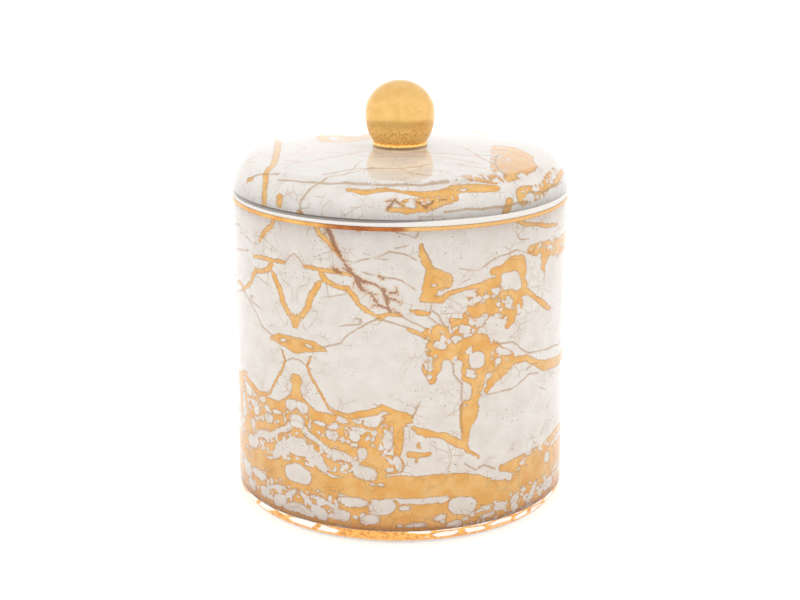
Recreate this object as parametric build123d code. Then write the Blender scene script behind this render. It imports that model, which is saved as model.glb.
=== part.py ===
from build123d import *
from math import asin, cos, sin, sqrt
import os

# Lidded glass vanity jar. Millimetres, +Z up, origin at the centre of the face that it rests on.

# Jar
outer_diameter = 108.0
jar_height = 100.7
glass_wall = 4.0
floor_thickness = 2.6
base_corner_radius = 5.0
inner_corner_radius = 3.0
film_thickness = 0.3
coat_thickness = 0.3
gilding_height = 1.2
gilding_thickness = 0.3

# Base pad: it sits in a shallow recess of the glass and stands a little proud
pad_diameter = 84.0
pad_thickness = 1.2
pad_stands_proud = 0.4
pad_edge_gap = 0.3

# Lid
lid_side_height = 2.2
shoulder_width = 6.5
shoulder_height = 10.3
crown_rise = 2.3
lid_edge_radius = 0.4
film_above_lid_edge = 1.2

# Ring under the lid that drops into the mouth of the jar
ring_depth = 6.0
ring_wall = 2.0
ring_side_clearance = 0.6
ring_above_rim = 0.3
ring_lead_in = 0.5

# Knob and its fastening
knob_diameter = 22.4
knob_upper_height = 10.6
knob_lower_height = 9.0
knob_seat_radius = 8.5
collar_radius = 8.9
collar_height = 1.2
collar_above_glass = 0.1
collar_cushion_depth = 0.4
cushion_radius = 7.5
cushion_side_gap = 0.15
thread_diameter = 4.0
thread_clearance = 0.05
hole_clearance = 0.5
thread_engagement = 8.0
thread_hole_extra = 2.0
screw_head_diameter = 8.0
screw_head_height = 2.6
screw_slot_width = 1.1
screw_slot_depth = 1.2
steel_washer_diameter = 9.0
steel_washer_thickness = 0.8
rubber_washer_diameter = 12.0
rubber_washer_thickness = 0.8

# A Bezier arm of this share of the radius draws a quarter of an ellipse
ELLIPSE_ARM = 0.5523

# What follows from the sizes above
outer_radius = outer_diameter / 2
glass_bottom = pad_stands_proud
glass_floor = glass_bottom + floor_thickness
glass_top = jar_height - gilding_thickness
film_inset = glass_wall
coat_inset = film_inset + film_thickness
inside_inset = coat_inset + coat_thickness
inside_radius = outer_radius - inside_inset
spring_line = jar_height + lid_side_height
crown_radius = outer_radius - shoulder_width
crown_sphere = (crown_radius**2 + crown_rise**2) / (2 * crown_rise)
thread_radius = thread_diameter / 2
screw_hole_radius = thread_radius + hole_clearance


def sagitta(radius):
    """How far the crown has fallen at this distance from the axis."""
    return crown_sphere - sqrt(crown_sphere**2 - radius**2)


apex = spring_line + shoulder_height + crown_rise
knob_seat = apex - sagitta(collar_radius)
collar_bottom = knob_seat + collar_above_glass
knob_bottom = collar_bottom + collar_height
knob_equator = knob_bottom + knob_lower_height
lid_inside_top = apex - inside_inset - sagitta(rubber_washer_diameter / 2)
rubber_washer_bottom = lid_inside_top - rubber_washer_thickness
steel_washer_bottom = rubber_washer_bottom - steel_washer_thickness
screw_tip = knob_bottom + thread_engagement


def disc(radius, bottom, top):
    """Upright cylinder on the axis between two heights."""
    return Pos(0, 0, bottom) * Cylinder(radius, top - bottom, align=(Align.CENTER, Align.CENTER, Align.MIN))


def tube(outer, inner, bottom, top):
    return disc(outer, bottom, top) - disc(inner, bottom, top)


def turned(outline):
    """Solid of revolution of a closed outline drawn in the XZ plane."""
    return revolve(make_face(Plane.XZ * outline), Axis.Z)


def low_edge(solid):
    """The outermost circle at the bottom of a turned solid."""
    return solid.edges().group_by(Axis.Z)[0].sort_by(SortBy.LENGTH)[-1]


def jar_plug(inset, floor, corner):
    """What fills the jar inside a skin of this inset, with a rounded bottom edge."""
    plug = disc(outer_radius - inset, floor, glass_top)
    return fillet(low_edge(plug), corner)


def lid_plug(inset, bottom):
    """What fills the lid inside a skin of this inset: straight side, elliptical shoulder, shallow crown."""
    radius = outer_radius - inset
    width = shoulder_width - inset
    crest = spring_line + shoulder_height - inset
    top = apex - inset
    slope = asin(crown_radius / crown_sphere)
    shoulder = Bezier(
        (radius, spring_line),
        (radius, spring_line + ELLIPSE_ARM * (crest - spring_line)),
        (crown_radius + ELLIPSE_ARM * width * cos(slope), crest - ELLIPSE_ARM * width * sin(slope)),
        (crown_radius, crest),
    )
    crown = RadiusArc((crown_radius, crest), (0, top), -crown_sphere)
    straight = Polyline((0, top), (0, bottom), (radius, bottom), (radius, spring_line))
    return turned(Curve() + [shoulder, crown, straight])


def screw_hole():
    return disc(screw_hole_radius, jar_height, apex + 1)


def pad_recess():
    return disc(pad_diameter / 2 + pad_edge_gap, 0, pad_thickness)


def rim_rebate():
    """Ring cut from the top of the outside of the glass, which the gilding fills."""
    inner = outer_radius - gilding_thickness
    return tube(outer_radius + 1, inner, jar_height - gilding_height, jar_height)


def make_jar_glass():
    hollow = jar_plug(film_inset, glass_floor, inner_corner_radius)
    return jar_plug(0, glass_bottom, base_corner_radius) - hollow - pad_recess() - rim_rebate()


def make_jar_marble_film():
    inner_floor = glass_floor + film_thickness
    inner = jar_plug(coat_inset, inner_floor, inner_corner_radius - film_thickness)
    return jar_plug(film_inset, glass_floor, inner_corner_radius) - inner


def make_jar_backing_coat():
    coat_floor = glass_floor + film_thickness
    coat_corner = inner_corner_radius - film_thickness
    inside = jar_plug(inside_inset, coat_floor + coat_thickness, coat_corner - coat_thickness)
    return jar_plug(coat_inset, coat_floor, coat_corner) - inside


def make_jar_rim_gilding():
    """Gold band over the rim: a flat top and a short outer skirt, flush with the glass."""
    skirt_inner = outer_radius - gilding_thickness
    top = tube(outer_radius, inside_radius, glass_top, jar_height)
    return top + tube(outer_radius, skirt_inner, jar_height - gilding_height, jar_height)


def make_base_pad():
    return disc(pad_diameter / 2, 0, pad_thickness)


def make_lid_glass():
    outside = lid_plug(0, jar_height)
    outside = fillet(low_edge(outside), lid_edge_radius)
    knob_flat = disc(collar_radius, knob_seat, apex + 1)
    return outside - lid_plug(film_inset, jar_height) - screw_hole() - knob_flat


def make_lid_marble_film():
    bottom = jar_height + film_above_lid_edge
    return lid_plug(film_inset, bottom) - lid_plug(coat_inset, bottom) - screw_hole()


def make_lid_backing_coat():
    bottom = jar_height + film_above_lid_edge
    return lid_plug(coat_inset, bottom) - lid_plug(inside_inset, bottom) - screw_hole()


def make_lid_seating_ring():
    """Bonded inside the side of the lid; its lower part hangs in the mouth with clearance all round."""
    skirt_outer = inside_radius - ring_side_clearance
    inner = skirt_outer - ring_wall
    skirt = tube(skirt_outer, inner, jar_height - ring_depth, spring_line)
    skirt = chamfer(low_edge(skirt), ring_lead_in)
    return skirt + tube(inside_radius, inner, jar_height + ring_above_rim, spring_line)


def make_knob_ball():
    """Slightly squat ball: its lower half is fuller and ends flat on the collar."""
    radius = knob_diameter / 2
    lower_axis = knob_lower_height / sqrt(1 - (knob_seat_radius / radius) ** 2)
    upper = scale(Sphere(radius), (1, 1, knob_upper_height / radius))
    lower = scale(Sphere(radius), (1, 1, lower_axis / radius))
    reach = 2 * knob_diameter
    above = disc(reach, 0, reach)
    below = disc(reach, -knob_lower_height, 0)
    ball = Pos(0, 0, knob_equator) * ((upper & above) + (lower & below))
    hole_top = screw_tip + thread_hole_extra
    return ball - disc(thread_radius + thread_clearance, knob_bottom - 1, hole_top)


def make_knob_collar():
    """Turned ring under the ball, hollowed below for the cushion."""
    collar = disc(collar_radius, collar_bottom, knob_bottom)
    collar = fillet(collar.edges().filter_by(GeomType.CIRCLE), collar_height / 3)
    cushion_space = disc(cushion_radius + cushion_side_gap, collar_bottom, collar_bottom + collar_cushion_depth)
    return collar - cushion_space - disc(screw_hole_radius, collar_bottom, knob_bottom)


def make_knob_cushion():
    return tube(cushion_radius, screw_hole_radius, knob_seat, collar_bottom + collar_cushion_depth)


def make_rubber_washer():
    return tube(rubber_washer_diameter / 2, screw_hole_radius, rubber_washer_bottom, lid_inside_top)


def make_steel_washer():
    inner = thread_radius + hole_clearance / 2
    return tube(steel_washer_diameter / 2, inner, steel_washer_bottom, rubber_washer_bottom)


def make_knob_screw():
    """Slotted round-head machine screw, driven up through the lid into the ball."""
    head_bottom = steel_washer_bottom - screw_head_height
    head = disc(screw_head_diameter / 2, head_bottom, steel_washer_bottom)
    head = fillet(low_edge(head), screw_head_height / 2)
    slot_height = head_bottom + screw_slot_depth / 2
    slot = Pos(0, 0, slot_height) * Box(screw_head_diameter + 1, screw_slot_width, screw_slot_depth)
    shank = disc(thread_radius, steel_washer_bottom, screw_tip)
    shank = chamfer(shank.edges().group_by(Axis.Z)[-1], thread_radius / 4)
    return head - slot + shank


PARTS = {
    "jar_glass": make_jar_glass,
    "jar_marble_film": make_jar_marble_film,
    "jar_backing_coat": make_jar_backing_coat,
    "jar_rim_gilding": make_jar_rim_gilding,
    "base_pad": make_base_pad,
    "lid_glass": make_lid_glass,
    "lid_marble_film": make_lid_marble_film,
    "lid_backing_coat": make_lid_backing_coat,
    "lid_seating_ring": make_lid_seating_ring,
    "knob_ball": make_knob_ball,
    "knob_collar": make_knob_collar,
    "knob_cushion": make_knob_cushion,
    "rubber_washer": make_rubber_washer,
    "steel_washer": make_steel_washer,
    "knob_screw": make_knob_screw,
}

os.makedirs("parts", exist_ok=True)
for name, make in PARTS.items():
    export_step(make(), f"parts/{name}.step")
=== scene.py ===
import math

import bmesh
import bpy
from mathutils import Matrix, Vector


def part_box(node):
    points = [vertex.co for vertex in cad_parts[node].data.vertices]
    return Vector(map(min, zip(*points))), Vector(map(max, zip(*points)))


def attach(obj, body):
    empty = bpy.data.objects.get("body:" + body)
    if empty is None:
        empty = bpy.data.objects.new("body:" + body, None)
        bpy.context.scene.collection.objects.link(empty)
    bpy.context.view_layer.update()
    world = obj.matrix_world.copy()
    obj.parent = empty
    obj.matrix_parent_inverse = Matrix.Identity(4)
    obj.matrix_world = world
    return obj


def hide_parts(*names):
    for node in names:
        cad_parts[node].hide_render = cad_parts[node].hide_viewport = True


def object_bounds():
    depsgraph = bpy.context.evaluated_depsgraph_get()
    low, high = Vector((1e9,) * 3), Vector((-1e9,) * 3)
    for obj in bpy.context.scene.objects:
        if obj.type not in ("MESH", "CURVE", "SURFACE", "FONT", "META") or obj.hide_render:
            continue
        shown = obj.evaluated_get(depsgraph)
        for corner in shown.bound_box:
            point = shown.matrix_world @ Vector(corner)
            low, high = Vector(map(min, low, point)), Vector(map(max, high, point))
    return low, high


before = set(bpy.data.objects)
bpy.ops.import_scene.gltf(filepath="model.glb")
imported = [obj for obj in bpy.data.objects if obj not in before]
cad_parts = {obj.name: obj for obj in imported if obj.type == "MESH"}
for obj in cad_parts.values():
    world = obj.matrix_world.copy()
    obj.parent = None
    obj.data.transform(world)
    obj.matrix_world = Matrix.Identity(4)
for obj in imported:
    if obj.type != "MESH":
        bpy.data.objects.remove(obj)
cad_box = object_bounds()

MM = 0.001
SEGMENTS = 192
SHARP_ANGLE = math.radians(32)
ON_AXIS = 1e-7

# Where the CAD pieces are, in metres
jar_low, jar_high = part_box("jar_glass")
film_low, film_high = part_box("jar_marble_film")
coat_low, coat_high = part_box("jar_backing_coat")
gilding_low, gilding_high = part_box("jar_rim_gilding")
pad_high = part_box("base_pad")[1]
lid_low, lid_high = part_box("lid_glass")
lid_film_low, lid_film_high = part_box("lid_marble_film")
knob_low, knob_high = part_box("knob_ball")
collar_low, collar_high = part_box("knob_collar")

OUTER_RADIUS = jar_high.x
FILM_RADIUS = film_high.x
LAYER = film_high.x - coat_high.x
WALL = OUTER_RADIUS - FILM_RADIUS

# Details of the shapes that the boxes don't tell
BASE_CORNER = 5.0 * MM
INNER_CORNER = 3.0 * MM
PAD_GAP = 0.3 * MM
SKIRT = 0.3 * MM
LID_SIDE = 2.2 * MM
SHOULDER_WIDTH = 6.5 * MM
SHOULDER_HEIGHT = 10.3 * MM
CROWN_RISE = 2.3 * MM
SCREW_HOLE = 2.5 * MM
KNOB_UPPER = 10.6 * MM
KNOB_SEAT = 8.5 * MM
# The glass reaches this far into the decor, so that no film of air shows between them
BOND = 0.05 * MM
EASED_EDGE = 0.35 * MM
GILDING_EASE = 0.12 * MM
LID_EASE = 0.4 * MM
# Length of a cubic curve's arm that makes it follow a quarter of an ellipse, and points along the curves
ELLIPSE_ARM = 0.5523
SHOULDER_STEPS = 20
CROWN_STEPS = 16

# The print on the jar is book-matched: it mirrors at this angle, and again this much further round
MIRROR_ANGLE = math.radians(-38.0)
PRINT_ANGLE = math.radians(112.0)
UNDER_FLOOR_SCALE = 0.5


# ---------------------------------------------------------------- node helpers


def srgb(red, green, blue, alpha=1.0):
    """A colour given as 0 to 255 screen values, as the linear values that shaders take."""
    linear = []
    for value in (red, green, blue):
        v = value / 255
        linear.append(v / 12.92 if v <= 0.04045 else ((v + 0.055) / 1.055) ** 2.4)
    return (*linear, alpha)


class Nodes:
    """Short forms for wiring a node tree: a plain value sets a socket, and a socket is linked to it."""

    def __init__(self, tree):
        self.tree = tree

    def add(self, kind, **settings):
        node = self.tree.nodes.new(kind)
        for key, value in settings.items():
            setattr(node, key, value)
        return node

    def put(self, value, socket):
        if isinstance(value, bpy.types.NodeSocket):
            self.tree.links.new(value, socket)
        elif value is not None:
            socket.default_value = value

    def math(self, operation, a, b=None, c=None):
        node = self.add("ShaderNodeMath", operation=operation)
        for value, socket in zip((a, b, c), node.inputs):
            self.put(value, socket)
        return node.outputs[0]

    def vector(self, operation, a, b=None, scale=None):
        node = self.add("ShaderNodeVectorMath", operation=operation)
        self.put(a, node.inputs[0])
        self.put(b, node.inputs[1])
        if scale is not None:
            self.put(scale, node.inputs["Scale"])
        return node.outputs["Value" if operation in ("LENGTH", "DOT_PRODUCT", "DISTANCE") else "Vector"]

    def combine(self, x, y, z=0.0):
        node = self.add("ShaderNodeCombineXYZ")
        for value, socket in zip((x, y, z), node.inputs):
            self.put(value, socket)
        return node.outputs[0]

    def split(self, vector):
        node = self.add("ShaderNodeSeparateXYZ")
        self.put(vector, node.inputs[0])
        return node.outputs

    def mix(self, share, a, b):
        node = self.add("ShaderNodeMix", data_type="RGBA", clamp_factor=True)
        self.put(share, node.inputs[0])
        self.put(a, node.inputs[6])
        self.put(b, node.inputs[7])
        return node.outputs[2]

    def band(self, value, start, end, low=0.0, high=1.0):
        """A smooth step from low to high as value goes from start to end."""
        node = self.add("ShaderNodeMapRange", interpolation_type="SMOOTHSTEP")
        for given, socket in zip((value, start, end, low, high), node.inputs):
            self.put(given, socket)
        return node.outputs[0]

    def noise(self, at, scale, detail=2.0, roughness=0.5, output="Fac"):
        node = self.add("ShaderNodeTexNoise")
        self.put(at, node.inputs["Vector"])
        node.inputs["Scale"].default_value = scale
        node.inputs["Detail"].default_value = detail
        node.inputs["Roughness"].default_value = roughness
        return node.outputs[output]

    def cells(self, at, scale, feature="F1"):
        node = self.add("ShaderNodeTexVoronoi", feature=feature, voronoi_dimensions="2D")
        self.put(at, node.inputs["Vector"])
        node.inputs["Scale"].default_value = scale
        return node.outputs

    def bump(self, height, strength, distance, under=None):
        node = self.add("ShaderNodeBump")
        node.inputs["Strength"].default_value = strength
        node.inputs["Distance"].default_value = distance
        self.put(height, node.inputs["Height"])
        self.put(under, node.inputs["Normal"])
        return node.outputs[0]

    def call(self, group, *values):
        node = self.add("ShaderNodeGroup", node_tree=group)
        for value, socket in zip(values, node.inputs):
            self.put(value, socket)
        return node.outputs[0]


def new_material(name, **constants):
    """A material whose Principled shader has these sockets set; returns it, its Nodes and its shader."""
    material = bpy.data.materials.new(name)
    material.use_nodes = True
    shader = material.node_tree.nodes["Principled BSDF"]
    for socket, value in constants.items():
        shader.inputs[socket.replace("_", " ")].default_value = value
    return material, Nodes(material.node_tree), shader


def dress(n, shader, colour, roughness, normal):
    n.put(colour, shader.inputs["Base Color"])
    n.put(roughness, shader.inputs["Roughness"])
    n.put(normal, shader.inputs["Normal"])


def object_place(n):
    return n.add("ShaderNodeTexCoord").outputs["Object"]


def place_in_mm(n):
    return n.vector("SCALE", object_place(n), scale=1 / MM)


def angle_and_height(n, at):
    """The angle round the axis, 0 at the front and growing to the right, and the height."""
    x, y, z = n.split(at)
    return n.math("ARCTAN2", x, n.math("MULTIPLY", y, -1.0)), z


def group_tree(name, inputs, output):
    """A node group that returns one number, with its Nodes, its input sockets and its output sockets."""
    tree = bpy.data.node_groups.new(name, "ShaderNodeTree")
    for socket_name, kind in inputs:
        tree.interface.new_socket(socket_name, in_out="INPUT", socket_type=kind)
    tree.interface.new_socket(output, in_out="OUTPUT", socket_type="NodeSocketFloat")
    n = Nodes(tree)
    start = n.add("NodeGroupInput").outputs
    end = n.add("NodeGroupOutput").inputs
    return tree, n, start, end


def make_stroke_group():
    """Distance from a straight tapered stroke, in its own unit: below 0 inside it."""
    vector, number = "NodeSocketVector", "NodeSocketFloat"
    sockets = [("At", vector), ("From", vector), ("Along", vector)]
    sockets += [("Inverse", number), ("Half", number), ("Grow", number)]
    tree, n, start, end = group_tree("decor_stroke", sockets, "Distance")
    offset = n.vector("SUBTRACT", start["At"], start["From"])
    dot = n.vector("DOT_PRODUCT", offset, start["Along"])
    share = n.math("MINIMUM", n.math("MAXIMUM", n.math("MULTIPLY", dot, start["Inverse"]), 0.0), 1.0)
    nearest = n.vector("SCALE", start["Along"], scale=share)
    away = n.vector("LENGTH", n.vector("SUBTRACT", offset, nearest))
    half = n.math("MULTIPLY_ADD", share, start["Grow"], start["Half"])
    n.put(n.math("SUBTRACT", away, half), end[0])
    return tree


# A fragment's outline: 2 would be an ellipse, and a large number a rectangle
BLUNTNESS = 2.6


def make_fragment_group():
    """How far inside a tilted blunt-cornered fragment a point lies: below 0 outside it."""
    vector, number = "NodeSocketVector", "NodeSocketFloat"
    sockets = [("At", vector), ("Centre", vector), ("Tilt", number), ("Inverse", vector), ("Least", number)]
    tree, n, start, end = group_tree("decor_fragment", sockets, "Inside")
    offset = n.vector("SUBTRACT", start["At"], start["Centre"])
    turn = n.add("ShaderNodeVectorRotate", rotation_type="Z_AXIS")
    n.put(offset, turn.inputs["Vector"])
    n.put(start["Tilt"], turn.inputs["Angle"])
    share = n.vector("ABSOLUTE", n.vector("MULTIPLY", turn.outputs[0], start["Inverse"]))
    x = n.vector("DOT_PRODUCT", share, (1.0, 0.0, 0.0))
    y = n.vector("DOT_PRODUCT", share, (0.0, 1.0, 0.0))
    powers = n.math("ADD", n.math("POWER", x, BLUNTNESS), n.math("POWER", y, BLUNTNESS))
    reach = n.math("POWER", powers, 1 / BLUNTNESS)
    n.put(n.math("MULTIPLY", n.math("SUBTRACT", 1.0, reach), start["Least"]), end[0])
    return tree


# Colours of the print; a row of specks is (cells per mm, radius in cells, rarity, colour)
STONE_LIGHT = srgb(252, 247, 242)
STONE_SHADE = srgb(243, 236, 229)
STONE_FROST = srgb(226, 218, 211)
SPECKS = ((0.42, 0.1, 0.5, srgb(150, 128, 110)), (0.9, 0.15, 0.46, srgb(190, 176, 164)))
LEAF_DEEP = srgb(246, 184, 88)
LEAF_PALE = srgb(252, 204, 124)
LEAF_SPECK = srgb(208, 136, 62)
LEAF_FLECK = srgb(255, 228, 186)
EDGE_BROWN = srgb(192, 124, 50)
STAIN_TAN = srgb(232, 186, 124)
VEIN_TAN = srgb(192, 146, 84)
VEIN_BROWN = srgb(164, 92, 26)
# painted shadow: the dark line at the lid print's lower edge, standing for the gap under the lid
SHADOW_LINE_BROWN = srgb(120, 84, 56)

# Where the glass is ground: the foot of the jar and the lower edge of the lid
GROUND_WHITE = srgb(214, 209, 202)
FOOT_GROUND = 5.3 * MM
FOOT_LINE = 2.6 * MM
FOOT_BARE = 1.35 * MM
CHIP_STRETCH = 1 / 0.28
EDGE_LIFT = 0.7 * MM
GLASS_TINT = (0.985, 0.99, 0.985, 1)

# How far from the gold the hair-thin cracks run, in mm of print
JAR_CRACK_SPREAD = 6.0
LID_CRACK_SPREAD = 22.0

STROKE = make_stroke_group()
FRAGMENT = make_fragment_group()


# ---------------------------------------------------------------- the marble print


def stroke_field(n, at, chains):
    """Distance from the nearest of these chains of (x, y, half width), in mm."""
    field = None
    for chain in chains:
        for (x0, y0, w0), (x1, y1, w1) in zip(chain, chain[1:]):
            along = (x1 - x0, y1 - y0, 0.0)
            inverse = 1 / (along[0] ** 2 + along[1] ** 2)
            distance = n.call(STROKE, at, (x0, y0, 0.0), along, inverse, w0, w1 - w0)
            field = distance if field is None else n.math("MINIMUM", field, distance)
    return field


def fragment_field(n, at, fragments):
    """How far inside any of these (x, y, half width, half height, tilt) fragments, in mm."""
    field = None
    for x, y, half_x, half_y, tilt in fragments:
        inverse = (1 / half_x, 1 / half_y, 0.0)
        inside = n.call(FRAGMENT, at, (x, y, 0.0), math.radians(-tilt), inverse, min(half_x, half_y))
        field = inside if field is None else n.math("MAXIMUM", field, inside)
    return field


def shaken(n, at, scale, amount, detail=2.0):
    """The point moved about by noise of this scale, by up to about this many mm."""
    colour = n.noise(at, scale, detail, output="Color")
    shift = n.vector("SCALE", n.vector("SUBTRACT", colour, (0.5, 0.5, 0.5)), scale=2 * amount)
    return n.vector("ADD", at, shift)


def breccia_field(n, at, size, gap, rarity):
    """Crushed stone in gold: above 0 in a chip, below 0 in the gold between, in mm."""
    edges = n.cells(at, 1 / size, "DISTANCE_TO_EDGE")["Distance"]
    chance = n.split(n.cells(at, 1 / size)["Color"])[0]
    kept = n.band(chance, rarity, rarity + 0.02, -3.0, 0.0)
    chips = n.math("MULTIPLY_ADD", edges, size, n.math("MULTIPLY", gap, -1.0))
    return n.math("ADD", chips, kept)


def gold_field(n, at, torn, crisp, art):
    """Where the gold leaf lies: below 0 in it, with crushed zones and whole stones left out of it."""
    leaf = stroke_field(n, torn, art["gold"])
    zone = stroke_field(n, torn, art["crushed"])
    gap = n.math("MULTIPLY_ADD", n.noise(at, 0.22, 2.0), 1.5, -0.3)
    coarse = breccia_field(n, n.vector("ADD", crisp, (7.0, 3.0, 0.0)), 4.2, gap, 0.34)
    fine = breccia_field(n, crisp, 2.0, n.math("MULTIPLY", gap, 0.6), 0.5)
    which = n.band(n.noise(at, 0.3, 1.0), 0.46, 0.54)
    chips = n.math("MULTIPLY_ADD", which, n.math("SUBTRACT", fine, coarse), coarse)
    crushed = n.math("MAXIMUM", chips, n.math("MULTIPLY", zone, 0.7))
    gold = n.math("MINIMUM", leaf, crushed)
    return n.math("MAXIMUM", gold, fragment_field(n, torn, art["stones"]))


def stone_colour(n, at, crisp, frost):
    """Cream marble: slow clouds, a fine frost and scattered small specks."""
    cloud = n.noise(at, 0.16, 5.0, 0.6)
    colour = n.mix(n.band(cloud, 0.35, 0.68), STONE_LIGHT, STONE_SHADE)
    colour = n.mix(n.band(frost, 0.5, 0.75, 0.0, 0.3), colour, STONE_FROST)
    scattered = n.band(n.noise(n.vector("ADD", at, (80.0, 20.0, 0.0)), 0.11, 3.0), 0.5, 0.6)
    for scale, size, rarity, tint in SPECKS:
        spot = n.cells(n.vector("ADD", crisp, (scale * 90, 31.0, 0.0)), scale)
        near = n.band(spot["Distance"], size * 0.5, size, 1.0, 0.0)
        chosen = n.band(n.split(spot["Color"])[1], rarity, rarity + 0.05)
        chosen = n.math("MULTIPLY", chosen, scattered)
        colour = n.mix(n.math("MULTIPLY", near, chosen), colour, tint)
    return colour


def leaf_colour(n, at, speckle):
    """Gold leaf: slow changes of tone, darker specks and paler flecks."""
    tone = n.noise(at, 0.2, 3.0)
    colour = n.mix(n.band(tone, 0.35, 0.65), LEAF_DEEP, LEAF_PALE)
    colour = n.mix(n.band(speckle, 0.57, 0.72, 0.0, 0.55), colour, LEAF_SPECK)
    return n.mix(n.band(speckle, 0.36, 0.28, 0.0, 0.4), colour, LEAF_FLECK)


def crackle(n, at, crisp, gold, spread):
    """Hair-thin branching cracks, in patches, that die out this many mm away from the gold."""
    amount = None
    for size, lift in ((8.0, 3.0), (4.4, 11.0)):
        moved = n.vector("ADD", crisp, (lift, lift * 2, 0.0))
        lines = n.cells(moved, 1 / size, "DISTANCE_TO_EDGE")["Distance"]
        line = n.band(lines, 0.04 / size, 0.24 / size, 1.0, 0.0)
        amount = line if amount is None else n.math("MAXIMUM", amount, n.math("MULTIPLY", line, 0.8))
    patches = n.band(n.noise(n.vector("ADD", at, (40.0, 5.0, 0.0)), 0.13, 2.0), 0.47, 0.6, 0.0, 0.5)
    near = n.band(gold, spread * 0.4, spread, 1.0, 0.0)
    return n.math("MULTIPLY", amount, n.math("MULTIPLY", patches, near))


def decor(name, at_of, art, spread, shown=None, finish=None):
    """The printed decor: cream marble, gold leaf with soft brown edges, veins, crushed zones and specks."""
    material, n, shader = new_material(name, Specular_IOR_Level=0.12, IOR=1.5)
    at = at_of(n)
    loose = shaken(n, at, 0.11, 0.8)
    torn = shaken(n, loose, 0.75, 0.5, 3.0)
    crisp = shaken(n, loose, 1.6, 0.22, 3.0)
    gold = gold_field(n, at, torn, crisp, art)

    # Thin veins, and the darker crushed ones
    grain = n.noise(at, 1.1, 3.0, 0.6)
    veins = stroke_field(n, crisp, art["veins"])
    veins = n.math("MULTIPLY_ADD", n.math("SUBTRACT", grain, 0.5), 0.5, veins)
    dark = stroke_field(n, torn, art["dark"])
    dark = n.math("MULTIPLY_ADD", n.math("SUBTRACT", n.noise(at, 1.5, 3.0, 0.7), 0.5), 2.0, dark)
    if shown:
        dark = n.math("ADD", dark, shown(n))

    frost = n.noise(at, 1.9, 4.0, 0.65)
    speckle = n.noise(at, 2.4, 3.0, 0.7)
    in_gold = n.band(gold, -0.09, 0.09, 1.0, 0.0)
    colour = n.mix(in_gold, stone_colour(n, at, crisp, frost), leaf_colour(n, at, speckle))
    edge = n.band(n.math("ABSOLUTE", gold), 0.0, 0.34, 1.0, 0.0)
    edge = n.math("MULTIPLY", edge, n.band(grain, 0.3, 0.62, 0.2, 0.72))
    colour = n.mix(edge, colour, EDGE_BROWN)
    # Round the dark veins the stone is stained with tan
    stained = n.band(dark, 0.1, 1.1, 0.42, 0.0)
    colour = n.mix(stained, colour, STAIN_TAN)
    in_vein = n.band(veins, -0.1, 0.24, 1.0, 0.0)
    colour = n.mix(n.math("MULTIPLY", in_vein, 0.66), colour, VEIN_TAN)
    colour = n.mix(crackle(n, at, crisp, gold, spread), colour, VEIN_TAN)
    in_dark = n.band(dark, -0.12, 0.2, 1.0, 0.0)
    colour = n.mix(n.math("MULTIPLY", in_dark, 0.8), colour, VEIN_BROWN)
    if finish:
        colour = finish(n, colour)

    metal = n.math("MULTIPLY", in_gold, n.band(speckle, 0.3, 0.7, 0.4, 0.2))
    n.put(metal, shader.inputs["Metallic"])
    dress(n, shader, colour, n.band(speckle, 0.3, 0.7, 0.42, 0.62), n.bump(frost, 0.25, 0.05 * MM))
    return material


def right_of_mirror(n):
    """Nothing to the right of the print's mirror line, and a large distance to the left of it."""
    angle, _ = angle_and_height(n, object_place(n))
    side = n.math("WRAP", n.math("SUBTRACT", angle, MIRROR_ANGLE), math.pi, -math.pi)
    return n.band(side, -0.01, 0.01, 9.0, 0.0)


def lid_edge_shadow(n, colour):
    """The lid's print ends in a thin dark line of painted shadow, strongest towards the left of the front.
    """
    angle, z = angle_and_height(n, object_place(n))
    # painted shadow, strong left of the front and fading towards the right
    fade = n.band(angle, math.radians(-12), math.radians(22), 0.85, 0.12)
    line = n.band(z, lid_film_low.z + 0.3 * MM, lid_film_low.z + 0.55 * MM, 1.0, 0.0)
    return n.mix(n.math("MULTIPLY", line, fade), colour, SHADOW_LINE_BROWN)


def jar_print(n):
    """Place in the flat print, in mm: distance from the mirror line round the wall, and height."""
    x, y, z = n.split(object_place(n))
    angle = n.math("ARCTAN2", x, n.math("MULTIPLY", y, -1.0))
    turned = n.math("SUBTRACT", angle, MIRROR_ANGLE)
    wrapped = n.math("WRAP", turned, math.pi, -math.pi)
    folded = n.math("PINGPONG", n.math("ABSOLUTE", wrapped), PRINT_ANGLE)
    radius = n.vector("LENGTH", n.combine(x, y))
    # Under the floor the print goes on towards the axis
    inward = n.math("MULTIPLY", n.math("SUBTRACT", FILM_RADIUS, radius), -UNDER_FLOOR_SCALE / MM)
    height = n.math("MULTIPLY_ADD", z, 1 / MM, inward)
    return n.combine(n.math("MULTIPLY", folded, FILM_RADIUS / MM), height)


def lid_print(n):
    """Place in the lid's print, in mm: seen from above, with the side laid out flat."""
    x, y, z = n.split(object_place(n))
    radius = n.math("MAXIMUM", n.vector("LENGTH", n.combine(x, y)), MM)
    crest = lid_film_high.z - CROWN_RISE
    fall = n.math("MAXIMUM", n.math("SUBTRACT", crest, z), 0.0)
    stretch = n.math("DIVIDE", n.math("ADD", radius, fall), n.math("MULTIPLY", radius, MM))
    return n.vector("SCALE", n.combine(x, y), scale=stretch)


def on_jar(*chains):
    """Chains given as (degrees from the mirror line, height, half width) in mm of print."""
    per_degree = math.radians(1) * FILM_RADIUS / MM
    return [[(angle * per_degree, height, *rest) for angle, height, *rest in chain] for chain in chains]


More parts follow.
